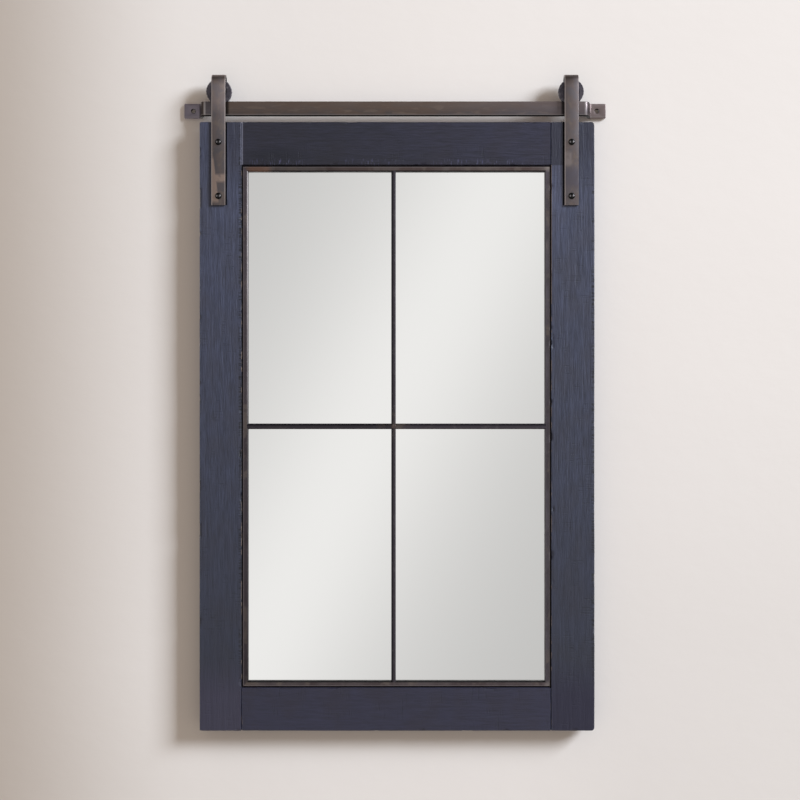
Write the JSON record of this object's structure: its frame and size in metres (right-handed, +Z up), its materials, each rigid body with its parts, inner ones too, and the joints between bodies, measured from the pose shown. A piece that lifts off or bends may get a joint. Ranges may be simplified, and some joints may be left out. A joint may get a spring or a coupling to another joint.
{
  "type": "sliding-door style wall mirror",
  "caption": "Rectangular wall mirror made like a small barn door: a painted plank frame with a steel-barred window, hung by straps and wheels from a flat track fixed to the wall.",
  "frame": {"origin": "on the wall plane, midway between the centres of the track's two wall holes", "axes": "+Z up, +Y into the wall, +X to the right as seen from the front; the front faces -Y"},
  "size_m": [0.724, 0.0429, 1.1172],
  "materials": {
    "track_steel": "aged, clear-lacquered, streaked tan and grey",
    "navy_paint_on_wood": "satin navy paint on rough-sawn softwood",
    "dowel_wood": "bare beech",
    "aged_steel": "dark bronze patina",
    "mirror": "silvered float glass",
    "hardboard": "smooth brown hardboard",
    "zinc_steel": "zinc plated",
    "bumper_rubber": "matte black",
    "strap_steel": "aged, warm grey-brown",
    "black_steel": "satin black",
    "wheel_steel": "dark aged steel"
  },
  "bodies": {
    "track": {"track_bar": "track_steel"},
    "panel": {"stile_left": "navy_paint_on_wood", "stile_right": "navy_paint_on_wood", "rail_top": "navy_paint_on_wood", "rail_bottom": "navy_paint_on_wood", "corner_dowels": "dowel_wood", "window_bar_top": "aged_steel", "window_bar_bottom": "aged_steel", "window_bar_left": "aged_steel", "window_bar_right": "aged_steel", "muntin_vertical": "aged_steel", "muntin_left": "aged_steel", "muntin_right": "aged_steel", "mirror_glass": "mirror", "backing_board": "hardboard", "retainer_clips": "zinc_steel", "clip_screws": "zinc_steel", "bumper_screws": "zinc_steel", "axle_nuts": "zinc_steel", "wheel_washers": "zinc_steel", "axle_stud_left": "zinc_steel", "axle_stud_right": "zinc_steel", "wall_bumpers": "bumper_rubber", "hanger_strap_left": "strap_steel", "hanger_strap_right": "strap_steel", "strap_screws": "black_steel"},
    "wheel_left": {"wheel_left": "wheel_steel"},
    "wheel_right": {"wheel_right": "wheel_steel"}
  },
  "joints": [
    {"name": "panel_slide", "type": "slide", "parent": "track", "child": "panel", "axis": [1, 0, 0], "range_m": [-0.008, 0.008]},
    {"name": "wheel_left_roll", "type": "hinge", "parent": "panel", "child": "wheel_left", "pos_m": [-0.3, -0.0265, 0.029], "axis": [0, 1, 0], "range_deg": [-28.5, 28.5]},
    {"name": "wheel_right_roll", "type": "hinge", "parent": "panel", "child": "wheel_right", "pos_m": [0.3, -0.0265, 0.029], "axis": [0, 1, 0], "range_deg": [-28.5, 28.5]}
  ],
  "couplings": [
    {"joint": "wheel_left_roll", "follows": "panel_slide", "rad_per_m": 61.728},
    {"joint": "wheel_right_roll", "follows": "panel_slide", "rad_per_m": 61.728}
  ]
}
